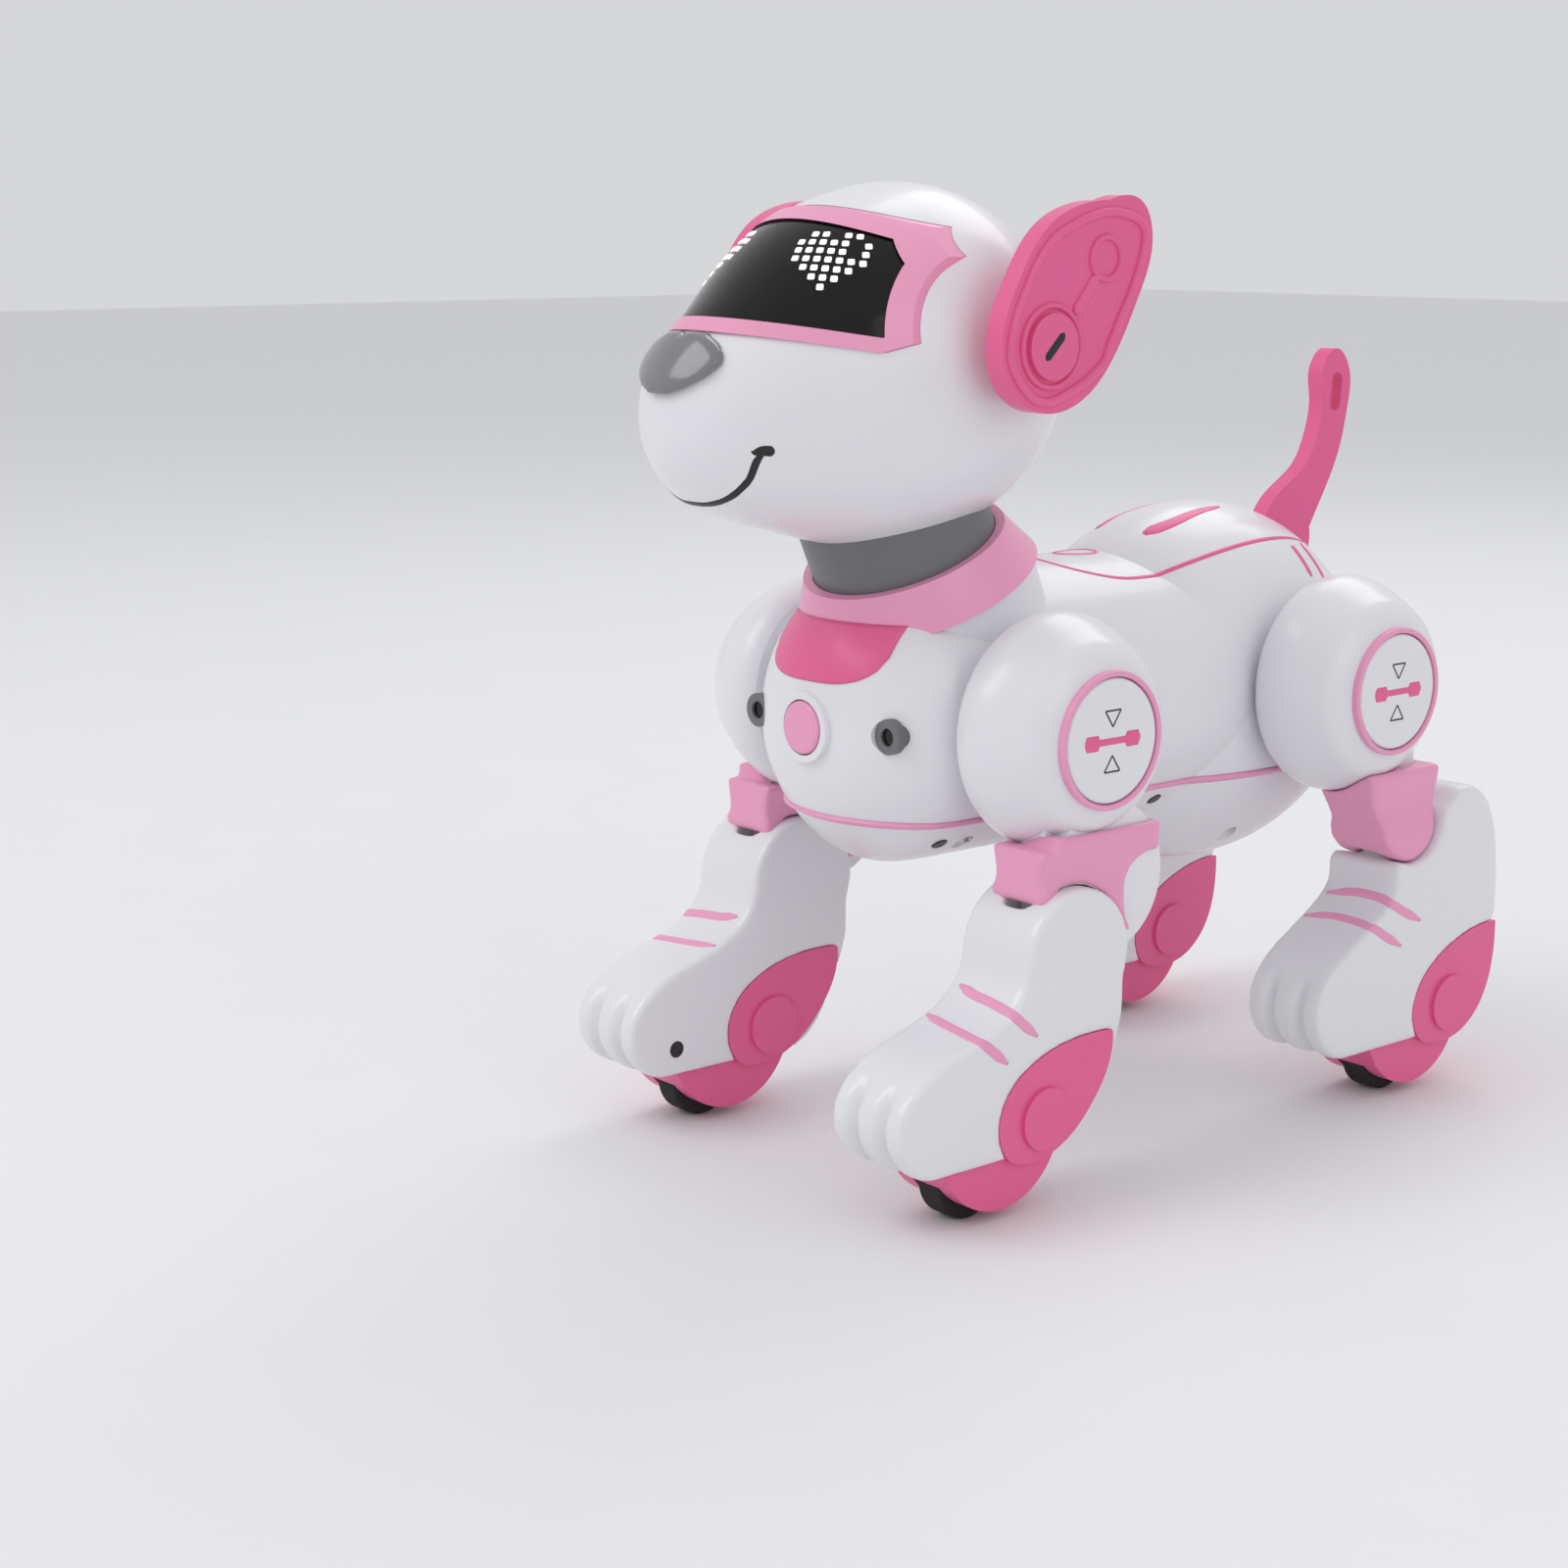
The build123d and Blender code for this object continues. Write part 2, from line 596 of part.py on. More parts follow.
GUARD_OUTLINE = {
    "front": [(4.0, -74.0), (-9.0, -74.0), (-22.0, -77.0), (-32.0, -84.0), (-35.0, -93.0), (-31.0, -101.2),
              (-22.9, -103.0), (-12.0, -99.8), (-2.5, -91.5), (2.6, -83.5), (4.0, -74.0)],
    "rear": [(51.0, -72.0), (40.0, -72.8), (29.0, -76.5), (19.0, -83.5), (15.0, -92.0), (18.0, -100.5),
             (27.0, -103.5), (37.0, -102.0), (46.5, -94.0), (50.3, -84.0), (51.0, -72.0)],
}


def paw_block(end, half):
    """Shin and paw as one slab of a given half-thickness."""
    knee_y, knee_z = KNEE[end]
    ball = KNEE_BALL_R[end]
    with BuildPart() as paw:
        with BuildSketch(leg_plane(end, LEG_X - half)):
            with BuildLine():
                Spline(*PAW_FRONT[end])
                Line(PAW_FRONT[end][-1], PAW_BACK[end][0])
                Spline(*PAW_BACK[end])
                if end == "front":
                    ThreePointArc(PAW_BACK[end][-1], (knee_y, knee_z + ball), PAW_FRONT[end][0])
                else:
                    Line(PAW_BACK[end][-1], PAW_FRONT[end][0])
            make_face()
        extrude(amount=2 * half)
    return paw.part


def guard_block(end, half, move=(0, 0)):
    """Outline of the heel guard as a slab, which can be moved in the side view."""
    points = [(y + move[0], z + move[1]) for y, z in GUARD_OUTLINE[end]]
    with BuildPart() as guard:
        with BuildSketch(leg_plane(end, LEG_X - half)):
            with BuildLine():
                Spline(*points)
            make_face()
        extrude(amount=2 * half)
    return guard.part


def heel_guards(end):
    """Pink heel cover: two cheeks joined round the back of the heel, each with a round boss."""
    with BuildPart() as guard:
        add(guard_block(end, GUARD_HALF))
        add(guard_block(end, GUARD_HALF - GUARD_WALL, GUARD_SHIFT), mode=Mode.SUBTRACT)
        add(leg_disc(end, GUARD_BOSS[end], GUARD_BOSS_R, GUARD_HALF + 1.0) - leg_disc(
            end, GUARD_BOSS[end], GUARD_BOSS_R + 1, GUARD_HALF - GUARD_WALL))
        add(cradle_block(end, GAP), mode=Mode.SUBTRACT)
        add(wheel_disc(end, WHEEL_R + 1.2, WHEEL_HALF + 1.0), mode=Mode.SUBTRACT)
    return guard


def cradle_block(end, grow=0.0):
    """Boat-shaped wheel housing, as a solid."""
    half_length = CRADLE_LENGTH / 2 + grow
    with BuildPart() as boat:
        with BuildSketch(side_plane(LEG_X - CRADLE_HALF - grow, (CRADLE_Y[end], 0))):
            with BuildLine():
                Line((-half_length, CRADLE_TOP_Z + grow), (half_length, CRADLE_TOP_Z + grow))
                Line((half_length, CRADLE_TOP_Z + grow), (half_length, 15.0))
                ThreePointArc((half_length, 15.0), (0, CRADLE_BOTTOM_Z - grow), (-half_length, 15.0))
                Line((-half_length, 15.0), (-half_length, CRADLE_TOP_Z + grow))
            make_face()
        extrude(amount=2 * (CRADLE_HALF + grow))
    return boat.part


def wheel_disc(end, radius, half):
    with BuildPart() as disc:
        with BuildSketch(side_plane(LEG_X - half, (WHEEL_Y[end], WHEEL_R))):
            Circle(radius)
        extrude(amount=2 * half)
    return disc.part


def wheel_cradle(end):
    with BuildPart() as cradle:
        add(cradle_block(end))
        add(wheel_disc(end, WHEEL_R + 0.9, WHEEL_HALF + 0.7), mode=Mode.SUBTRACT)
        add(wheel_disc(end, AXLE_R + RUNNING, AXLE_HALF + 0.2), mode=Mode.SUBTRACT)
    return cradle


def wheel(end):
    """Tyred wheel with its own axle."""
    with BuildPart() as roller:
        add(wheel_disc(end, WHEEL_R, WHEEL_HALF))
        fillet(roller.edges(), 1.2)
        add(wheel_disc(end, 4.0, WHEEL_HALF + 0.4))
        add(wheel_disc(end, AXLE_R, AXLE_HALF))
    return roller


def shin_heel(end):
    """Part of the heel that the guard wraps."""
    return paw_block(end, GUARD_HALF - GUARD_WALL - GAP) & guard_block(end, BIG, GUARD_SHIFT)


def shin_shell(end):
    """Shin and paw in one moulding, slotted at the knee and hollow over the wheel."""
    knee_y, knee_z = KNEE[end]
    with BuildPart() as shin:
        add(paw_block(end, SHIN_HALF))
        add(guard_block(end, BIG), mode=Mode.SUBTRACT)
        add(shin_heel(end))
        if end == "front":
            add(leg_block(end, (knee_y - 11, knee_y + 11), (knee_z, -30), PLATE_HALF + CLEAR), mode=Mode.SUBTRACT)
            add(leg_disc(end, KNEE[end], PLATE_R + 0.5, PLATE_HALF + CLEAR), mode=Mode.SUBTRACT)
            add(leg_disc(end, KNEE[end], PIN_R, PLATE_HALF + 1.5))
        else:
            add(leg_disc(end, KNEE[end], KNEE_BALL_R[end] + CLEAR, BIG), mode=Mode.SUBTRACT)
            add(knee_tongue())
        # Pocket over the wheel, closed by its cradle
        add(cradle_block(end, GAP), mode=Mode.SUBTRACT)
        add(wheel_disc(end, WHEEL_R + 1.2, WHEEL_HALF + 1.0), mode=Mode.SUBTRACT)
    return shin


for end in HUB_Y:
    save_both(heel_guards(end), end + "_{}_heel_guard")
    save_both(wheel_cradle(end), end + "_{}_wheel_cradle")
    save_both(wheel(end), end + "_{}_wheel")
    save_both(shin_shell(end), end + "_{}_shin_shell")


# ---------------------------------------------------------------- head

HEAD_AXIS = Vector(0, MUZZLE[0] - CRANIUM[0], MUZZLE[1] - CRANIUM[1])
HEAD_PLANE = Plane(origin=(0, *CRANIUM), x_dir=HEAD_AXIS, z_dir=(-1, 0, 0))


def head_form(grow=0.0):
    """Cranium and muzzle as one solid, turned about the line through their centres."""
    back, snout = CRANIUM_R + grow, MUZZLE_R + grow
    reach = HEAD_AXIS.length
    with BuildPart() as form:
        with BuildSketch(HEAD_PLANE):
            with BuildLine():
                nape = CenterArc((0, 0), back, 180, -90)
                tip = CenterArc((reach, 0), snout, 60, -60)
                Spline(nape @ 1, *[(along, radius + grow) for along, radius in HEAD_PROFILE], tip @ 0,
                       tangents=(nape % 1, tip % 0))
                Line((reach + snout, 0), (-back, 0))
            make_face()
        revolve(axis=Axis((0, *CRANIUM), HEAD_AXIS))
    return form.part


def visor_prism(inset):
    """Wide visor with cut outer corners in the front view, as a prism through the face."""
    with BuildPart() as prism:
        with BuildSketch(front_plane(CRANIUM[0])):
            with BuildLine():
                left_edge = Polyline(*VISOR_CORNERS)
                right_edge = Polyline(*[(-x, z) for x, z in VISOR_CORNERS])
                ThreePointArc(left_edge @ 0, (0, VISOR_TOP_Z), right_edge @ 0)
                ThreePointArc(left_edge @ 1, (0, VISOR_LOW_Z), right_edge @ 1)
            make_face()
            offset(amount=-inset, kind=Kind.INTERSECTION, mode=Mode.REPLACE)
        extrude(amount=80)
    return prism.part


def face_layer(outer, inner):
    """Skin of the head between two offsets from its surface."""
    return head_form(outer) - head_form(inner)


behind_split = half_space(Plane((0, HEAD_SPLIT_Y, 0), z_dir=(0, 1, 0)))
neck_plug = rod(NECK_PLANE.location, NECK_R + GAP, -60, 60)
ear_axle = rod(side_plane(0, EAR_HUB).location, 4.0 + GAP, -BIG, BIG)

with BuildPart() as head_front_shell:
    add(head_form())
    add(behind_split, mode=Mode.SUBTRACT)
    add(visor_prism(-0.01), mode=Mode.SUBTRACT)
    add(head_form(-WALL), mode=Mode.SUBTRACT)
    add(neck_plug, mode=Mode.SUBTRACT)
    add(ear_axle, mode=Mode.SUBTRACT)
save(head_front_shell, "head_front_shell")

with BuildPart() as head_rear_shell:
    add(face_layer(0, -WALL))
    add(behind_split, mode=Mode.INTERSECT)
    add(neck_plug, mode=Mode.SUBTRACT)
    add(ear_axle, mode=Mode.SUBTRACT)
save(head_rear_shell, "head_rear_shell")

with BuildPart() as visor_bezel:
    add(face_layer(0.8, -WALL))
    add(visor_prism(GAP), mode=Mode.INTERSECT)
    add(visor_prism(VISOR_FRAME), mode=Mode.SUBTRACT)
save(visor_bezel, "visor_bezel")

with BuildPart() as visor_lens:
    add(face_layer(0.2, -1.6))
    add(visor_prism(VISOR_FRAME + GAP), mode=Mode.INTERSECT)
save(visor_lens, "visor_lens")

with BuildPart() as eye_boards:
    add(face_layer(-2.4, -4.0))
    add(visor_prism(VISOR_FRAME + 3), mode=Mode.INTERSECT)
    add(block((-3, 3), (-BIG, 0), (150, 250)), mode=Mode.SUBTRACT)
save(eye_boards, "eye_boards")

with BuildPart() as nose:
    with BuildSketch(front_plane(MUZZLE[0])):
        with BuildLine():
            Spline((0, NOSE_Z + 6.0), (11, NOSE_Z + 4.5), (14, NOSE_Z + 0.5), (8, NOSE_Z - 5.5), (0, NOSE_Z - 7.5),
                   (-8, NOSE_Z - 5.5), (-14, NOSE_Z + 0.5), (-11, NOSE_Z + 4.5), (0, NOSE_Z + 6.0))
        make_face()
    extrude(amount=60)
    add(head_form(2.4), mode=Mode.INTERSECT)
    add(head_form(), mode=Mode.SUBTRACT)
save(nose, "nose")


# The ear is drawn from its hub: a paddle that widens upwards and backwards
EAR_OUTLINE = [(18.7, 34.0), (33.0, 30.0), (34.0, 24.0), (29.5, 11.0), (22.5, -1.5), (14.0, -11.0), (0, -15.8),
               (-12.5, -10.5), (-16.2, 0.5), (-11.0, 15.5), (-1.5, 28.0), (9.5, 33.0), (18.7, 34.0)]


def ear():
    """Flat pink paddle with a raised rim and hub, and an axle into the head."""
    with BuildPart() as paddle:
        with BuildSketch(side_plane(EAR_INNER_X, EAR_HUB)):
            with BuildLine():
                Spline(*EAR_OUTLINE, periodic=False)
            make_face()
        extrude(amount=EAR_OUTER_X - EAR_INNER_X)
        ear_place = side_plane(0, EAR_HUB).location
        add(rod(ear_place, EAR_HUB_R, EAR_INNER_X - 3.0, EAR_OUTER_X + 1.4))
        add(rod(ear_place, 4.0, 38.0, EAR_INNER_X))
        add(rod(ear_place, 5.5, 38.0, 40.0))
    return paddle


def ear_mount():
    """Collar on the head's side that the ear's hub turns against."""
    with BuildPart() as mount:
        ear_place = side_plane(0, EAR_HUB).location
        add(rod(ear_place, EAR_HUB_R + 1.0, 38.0, EAR_INNER_X - 3.0 - CLEAR))
        add(head_form(GAP), mode=Mode.SUBTRACT)
        add(rod(ear_place, 4.0 + RUNNING, 0, BIG), mode=Mode.SUBTRACT)
    return mount


save_both(ear(), "{}_ear")
left_mount = ear_mount()
with BuildPart() as ear_mounts:
    add(left_mount.part)
    mirror(left_mount.part, about=Plane.YZ)
save(ear_mounts, "ear_mounts")
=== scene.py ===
import bpy
import json
import math
import numpy as np
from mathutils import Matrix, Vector
from mathutils.bvhtree import BVHTree

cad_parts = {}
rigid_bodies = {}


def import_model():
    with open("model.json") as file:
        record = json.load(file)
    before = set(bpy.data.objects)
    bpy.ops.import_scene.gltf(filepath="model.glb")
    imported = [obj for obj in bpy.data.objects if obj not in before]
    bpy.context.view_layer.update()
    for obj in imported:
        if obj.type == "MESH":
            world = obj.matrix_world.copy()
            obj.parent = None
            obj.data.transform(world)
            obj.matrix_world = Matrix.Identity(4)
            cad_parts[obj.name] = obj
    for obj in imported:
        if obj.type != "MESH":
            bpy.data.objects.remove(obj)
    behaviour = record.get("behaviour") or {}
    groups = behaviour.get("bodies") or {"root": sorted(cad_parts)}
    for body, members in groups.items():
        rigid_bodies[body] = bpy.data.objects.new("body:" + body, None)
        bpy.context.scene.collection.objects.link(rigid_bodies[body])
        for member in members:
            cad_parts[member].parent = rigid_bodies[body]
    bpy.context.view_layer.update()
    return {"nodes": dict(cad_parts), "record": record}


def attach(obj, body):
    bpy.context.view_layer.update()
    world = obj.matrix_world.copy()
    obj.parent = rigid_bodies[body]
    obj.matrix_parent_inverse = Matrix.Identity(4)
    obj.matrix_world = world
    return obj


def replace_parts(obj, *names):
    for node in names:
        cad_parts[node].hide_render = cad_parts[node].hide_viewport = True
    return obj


# Looks of the robot dog toy. The helpers take millimetres and make metres.

for left_over in list(bpy.data.objects):
    bpy.data.objects.remove(left_over)
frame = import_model()
NODES = frame["nodes"]
MM = 0.001
SIDES = (("left", 1), ("right", -1))
LEG_X = 52.7                    # middle of each leg
CAP_FACE_X = 65.8               # outer face of the hub caps
HUBS = {"front": (-37.5, 116.4), "rear": (73.0, 116.4)}


# ---------------------------------------------------------------- materials

def shader_nodes(name):
    material = bpy.data.materials.new(name)
    material.use_nodes = True
    return material, material.node_tree.nodes, material.node_tree.links


def plastic(name, colour, rough, grain=0.00035, bump=0.06, coat=0.0, tint=0.05, specular=0.5):
    """Moulded plastic: fine mould grain, slow colour drift, and handling marks in the gloss."""
    material, nodes, links = shader_nodes(name)
    shader = nodes["Principled BSDF"]
    shader.inputs["Coat Weight"].default_value = coat
    shader.inputs["Coat Roughness"].default_value = 0.12
    shader.inputs["Specular IOR Level"].default_value = specular
    place = nodes.new("ShaderNodeTexCoord")
    drift = nodes.new("ShaderNodeTexNoise")
    drift.inputs["Scale"].default_value = 22.0
    drift.inputs["Detail"].default_value = 3.0
    links.new(place.outputs["Object"], drift.inputs["Vector"])
    tone = nodes.new("ShaderNodeValToRGB")
    tone.color_ramp.elements[0].position = 0.3
    tone.color_ramp.elements[0].color = (*[c * (1 - tint) for c in colour], 1)
    tone.color_ramp.elements[1].position = 0.7
    tone.color_ramp.elements[1].color = (*colour, 1)
    links.new(drift.outputs["Fac"], tone.inputs["Fac"])
    links.new(tone.outputs["Color"], shader.inputs["Base Color"])
    marks = nodes.new("ShaderNodeTexNoise")
    marks.inputs["Scale"].default_value = 140.0
    marks.inputs["Detail"].default_value = 4.0
    links.new(place.outputs["Object"], marks.inputs["Vector"])
    gloss = nodes.new("ShaderNodeMapRange")
    gloss.inputs["To Min"].default_value = rough * 0.85
    gloss.inputs["To Max"].default_value = rough * 1.2
    links.new(marks.outputs["Fac"], gloss.inputs["Value"])
    links.new(gloss.outputs["Result"], shader.inputs["Roughness"])
    fine = nodes.new("ShaderNodeTexNoise")
    fine.inputs["Scale"].default_value = 1.0 / grain
    fine.inputs["Detail"].default_value = 2.0
    links.new(place.outputs["Object"], fine.inputs["Vector"])
    relief = nodes.new("ShaderNodeBump")
    relief.inputs["Strength"].default_value = bump
    relief.inputs["Distance"].default_value = 0.0002
    links.new(fine.outputs["Fac"], relief.inputs["Height"])
    links.new(relief.outputs["Normal"], shader.inputs["Normal"])
    return material


def lit(name, colour, glow):
    """Lit LED. Its colour drops where the surface turns away from the viewer."""
    material, nodes, links = shader_nodes(name)
    shader = nodes["Principled BSDF"]
    shader.inputs["Roughness"].default_value = 0.3
    shader.inputs["Emission Strength"].default_value = glow
    facing = nodes.new("ShaderNodeLayerWeight")
    facing.inputs["Blend"].default_value = 0.35
    tone = nodes.new("ShaderNodeValToRGB")
    tone.color_ramp.elements[0].color = (*colour, 1)
    tone.color_ramp.elements[1].color = (*[c * 0.45 for c in colour], 1)
    links.new(facing.outputs["Facing"], tone.inputs["Fac"])
    links.new(tone.outputs["Color"], shader.inputs["Emission Color"])
    links.new(tone.outputs["Color"], shader.inputs["Base Color"])
    return material


WHITE = plastic("white_shell", (0.83, 0.83, 0.86), 0.30, bump=0.03, coat=0.25, tint=0.02)
LIGHT_PINK = plastic("light_pink", (0.91, 0.37, 0.57), 0.34, bump=0.05, coat=0.15)
DARK_PINK = plastic("dark_pink", (0.86, 0.125, 0.32), 0.38, bump=0.07, coat=0.1)
SOFT_PINK = plastic("soft_pink", (0.86, 0.125, 0.32), 0.5, grain=0.0005, bump=0.12)
GREY = plastic("grey_plastic", (0.16, 0.165, 0.17), 0.42, bump=0.1)
NOSE_GREY = plastic("nose_grey", (0.20, 0.20, 0.21), 0.16, bump=0.02, coat=0.6)
BLACK_LENS = plastic("black_lens", (0.003, 0.003, 0.0035), 0.1, bump=0.0, coat=0.15, specular=0.25)
BLACK = plastic("black_plastic", (0.015, 0.015, 0.016), 0.4, bump=0.1)
RUBBER = plastic("black_rubber", (0.012, 0.012, 0.013), 0.7, grain=0.0006, bump=0.35)
STEEL = plastic("steel", (0.55, 0.55, 0.57), 0.3, bump=0.1)
STEEL.node_tree.nodes["Principled BSDF"].inputs["Metallic"].default_value = 1.0
BOARD = plastic("circuit", (0.02, 0.16, 0.07), 0.4)
BATTERY = plastic("battery", (0.02, 0.1, 0.35), 0.25)
INK = plastic("ink", (0.01, 0.01, 0.011), 0.35, bump=0.02)
HEART = lit("heart_light", (0.9, 0.88, 0.9), 0.9)
BY_SLOT = {"white_shell": WHITE, "light_pink": LIGHT_PINK, "dark_pink": DARK_PINK, "soft_pink": SOFT_PINK,
           "grey_plastic": GREY, "nose_grey": NOSE_GREY, "black_lens": BLACK_LENS, "black_rubber": RUBBER,
           "steel": STEEL, "circuit": BOARD, "battery": BATTERY, "black_plastic": BLACK}
for part in frame["record"]["subparts"]:
    NODES[part["node"]].data.materials.clear()
    NODES[part["node"]].data.materials.append(BY_SLOT[part["material_slot"]])


# ---------------------------------------------------------------- mesh helpers

def new_piece(name, body, vertices, faces, material):
    """Mesh in metres from points in millimetres, riding on a body."""
    mesh = bpy.data.meshes.new(name)
    mesh.from_pydata([tuple(c * MM for c in v) for v in vertices], [], faces)
    mesh.validate()
    mesh.update()
    mesh.shade_smooth()
    mesh.materials.append(material)
    piece = bpy.data.objects.new(name, mesh)
    bpy.context.scene.collection.objects.link(piece)
    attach(piece, body)
    return piece


def skin_tree(*pieces):
    """Search tree, in millimetres, over the shown surfaces of these objects."""
    vertices, faces = [], []
    for piece in pieces:
        first = len(vertices)
        vertices += [v.co * 1000 for v in piece.data.vertices]
        faces += [[first + i for i in polygon.vertices] for polygon in piece.data.polygons]
    return BVHTree.FromPolygons(vertices, faces)


def smooth_path(points, per_span=8, closed=False):
    """Catmull-Rom curve through the points."""
    knots = [Vector(p) for p in points]
    if closed:
        ends = knots[-1:] + knots + knots[:2]
    else:
        ends = [knots[0] * 2 - knots[1], *knots, knots[-1] * 2 - knots[-2]]
    path = []
    for a, b, c, d in zip(ends, ends[1:], ends[2:], ends[3:]):
        for step in range(per_span):
            t = step / per_span
            path.append(0.5 * ((2 * b) + (c - a) * t + (2 * a - 5 * b + 4 * c - d) * t ** 2
                               + (3 * b - a - 3 * c + d) * t ** 3))
    return path if closed else path + [knots[-1]]


def drop(tree, point, toward=None):
    """Place on the surface nearest a point, or straight along a direction, and its outward normal."""
    if toward is not None:
        start = Vector(point) - Vector(toward) * 40
        place, normal, _, _ = tree.ray_cast(start, Vector(toward))
        if place is not None:
            return place, -normal if normal.dot(Vector(toward)) > 0 else normal
    place, normal, _, _ = tree.find_nearest(Vector(point))
    return place, normal


CROWN = 1.02                    # keeps a ribbon's edges just above the surface
RIBBON_DEPTH = 0.3


def inlay(name, body, points, width, tree, material, rise=0.3, closed=False, taper=0.0, toward=None):
    """Closed ribbon laid along a curve on a surface, crowned across its width."""
    path = smooth_path(points, closed=closed)
    count, across = len(path), (-1.0, -0.8, -0.4, 0.0, 0.4, 0.8, 1.0)
    vertices, faces = [], []
    for i, point in enumerate(path):
        before = path[i - 1] if i or closed else path[0]
        after = path[(i + 1) % count] if i < count - 1 or closed else path[-1]
        run = (after - before).normalized()
        centre, normal = drop(tree, point, toward)
        side = run.cross(normal).normalized()
        along = i / max(count - 1, 1)
        end = 1.0 if closed else min(1.0, 0.35 + 6 * min(along, 1 - along))
        half = width / 2 * end * (1 - taper * along)
        section = [drop(tree, centre + side * half * share, toward) for share in across]
        for share, (place, up) in zip(across, section):
            vertices.append(place + up * (rise * math.sqrt(CROWN - share ** 2)))
        vertices += [place - up * RIBBON_DEPTH for place, up in section]
    row = 2 * len(across)
    loops = list(range(len(across))) + list(range(row - 1, len(across) - 1, -1))
    for i in range(count if closed else count - 1):
        here, there = i * row, (i + 1) % count * row
        for a, b in zip(loops, loops[1:] + loops[:1]):
            faces.append((here + a, here + b, there + b, there + a))
    if not closed:
        faces.append(loops[::-1])
        faces.append([(count - 1) * row + k for k in loops])
    return new_piece(name, body, vertices, faces, material)


def disc_faces(first, rings, sides):
    """Faces of a closed disc of stacked rings: its wall, its base and its top."""
    faces = []
    for ring in range(rings - 1):
        for k in range(sides):
            a, b = first + ring * sides + k, first + ring * sides + (k + 1) % sides
            faces.append((a, b, b + sides, a + sides))
    faces.append([first + k for k in range(sides)][::-1])
    faces.append([first + (rings - 1) * sides + k for k in range(sides)])
    return faces


STUD_SIDES = 24
STUD_PROFILE = ((1.0, -0.4), (1.0, 0.1), (0.85, 1.0), (0.6, 0.75), (0.25, 0.6))


def stud(name, body, centre, radius, tree, material, toward, rise=0.25):
    """Low domed disc set on a surface."""
    place, up = drop(tree, centre, toward)
    across = up.orthogonal().normalized()
    other = up.cross(across)
    vertices = []
    for share, height in STUD_PROFILE:
        for k in range(STUD_SIDES):
            turn = 2 * math.pi * k / STUD_SIDES
            vertices.append(place + (across * math.cos(turn) + other * math.sin(turn)) * radius * share
                            + up * rise * height)
    faces = disc_faces(0, len(STUD_PROFILE), STUD_SIDES)
    return new_piece(name, body, vertices, faces, material)


def flipped(points, side):
    return [(x * side, y, z) for x, y, z in points]


def softened(node, voxel, rounds, body, material, shape=None, infill=None):
    """Rounded copy of a CAD piece with its hard edges worn down; it stands for the CAD piece."""
    form = NODES[node].data.copy()
    if infill is not None:
        vertices = [tuple(v.co) for v in form.vertices]
        faces = [tuple(p.vertices) for p in form.polygons]
        first = len(vertices)
        vertices += [tuple(c * MM for c in v) for v in infill[0]]
        faces += [tuple(first + k for k in f) for f in infill[1]]
        form = bpy.data.meshes.new(node + "_filled")
        form.from_pydata(vertices, [], faces)
    copy = bpy.data.objects.new(node + "_form", form)
    bpy.context.scene.collection.objects.link(copy)
    skin = copy.modifiers.new("skin", "REMESH")
    skin.mode = "VOXEL"
    skin.voxel_size = voxel * MM
    ease = copy.modifiers.new("ease", "SMOOTH")
    ease.factor = 0.5
    ease.iterations = rounds
    graph = bpy.context.evaluated_depsgraph_get()
    mesh = bpy.data.meshes.new_from_object(copy.evaluated_get(graph))
    bpy.data.objects.remove(copy)
    if shape is not None:
        points = np.array([v.co for v in mesh.vertices]) * 1000
        normals = np.array([v.normal for v in mesh.vertices])
        points = shape(points, normals)
        mesh.vertices.foreach_set("co", (points * MM).ravel())
    mesh.update()
    mesh.shade_smooth()
    mesh.materials.clear()
    mesh.materials.append(material)
    piece = bpy.data.objects.new(node + "_skin", mesh)
    bpy.context.scene.collection.objects.link(piece)
    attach(piece, body)
    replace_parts(piece, node)
    return piece


# ---------------------------------------------------------------- legs

TOE_FRONT = {"front": -84.0, "rear": 69.0}
TOE_TOP = 40.0


def toes(end, side):
    """Two creases between three toes on the paw's front."""
    def shape(points, normals):
        x, y, z = points.T
        ahead = np.clip((TOE_FRONT[end] - y) / 8.0, 0, 1) * np.clip((TOE_TOP - z) / 6.0, 0, 1)
        depth = np.zeros(len(points))
        for offset in (-5.0, 5.0):
            depth += 2.6 * np.exp(-((x - side * LEG_X - offset) / 1.6) ** 2)
        return points - normals * (depth * ahead)[:, None]
    return shape


def waist(end, side):
    """Narrows the knee between the hip and the shin."""
    def shape(points, normals):
        x, y, z = points.T
        pinch = 1 - 0.16 * np.exp(-((z - HUBS[end][1] + 34.0) / 6.0) ** 2)
        return np.column_stack([side * LEG_X + (x - side * LEG_X) * pinch, y, z])
    return shape


def box_mesh(x_range, y_range, z_range):
    """Closed block between limits, to be merged into a softened piece."""
    corners = [(x, y, z) for x in x_range for y in y_range for z in z_range]
    return corners, [(0, 1, 3, 2), (4, 6, 7, 5), (0, 4, 5, 1), (2, 3, 7, 6), (0, 2, 6, 4), (1, 5, 7, 3)]


